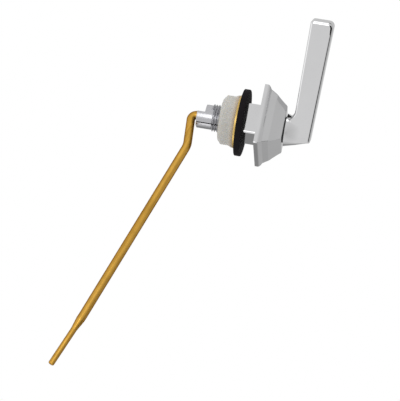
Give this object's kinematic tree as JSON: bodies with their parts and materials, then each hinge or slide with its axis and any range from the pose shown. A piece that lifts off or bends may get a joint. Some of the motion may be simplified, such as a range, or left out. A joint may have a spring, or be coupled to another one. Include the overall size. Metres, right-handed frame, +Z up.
{
  "type": "cistern lever",
  "caption": "Front-mounted cistern lever: flat bar handle on a square ogee escutcheon, with a clamp nut and washers behind the wall and a bent brass lift arm.",
  "frame": {"origin": "on the shaft's axis, in the plane where the escutcheon's rim seats on the outside of the cistern wall", "axes": "+Y along the shaft into the cistern, +Z up as installed, -X the side that the handle points to"},
  "size_m": [0.2254, 0.1247, 0.0633],
  "materials": {
    "chrome_casting": "polished",
    "steel": "satin",
    "dark_plastic": "matte",
    "white_nylon": "satin",
    "rubber": "matte",
    "brass": "satin"
  },
  "bodies": {
    "mount": {"escutcheon": "chrome_casting", "thrust_washer": "dark_plastic"},
    "lever": {"handle": "chrome_casting", "handle_grub_screw": "steel", "spindle": "steel", "stop_pin": "steel", "arm": "brass"},
    "clamp": {"gasket": "rubber", "clamp_washer": "brass"},
    "nut": {"clamp_nut": "white_nylon"}
  },
  "joints": [
    {"name": "lever_turn", "type": "hinge", "parent": "mount", "child": "lever", "pos_m": [0, 0, 0], "axis": [0, 1, 0], "range_deg": [0, 34]},
    {"name": "clamp_slide", "type": "slide", "parent": "mount", "child": "clamp", "axis": [0, 1, 0], "range_m": [0, 0.0045]},
    {"name": "nut_turn", "type": "hinge", "parent": "clamp", "child": "nut", "pos_m": [0, 0.0187, 0], "axis": [0, -1, 0], "range_deg": [0, 1081]}
  ],
  "couplings": [
    {"joint": "nut_turn", "follows": "clamp_slide", "rad_per_m": 4188.8}
  ]
}
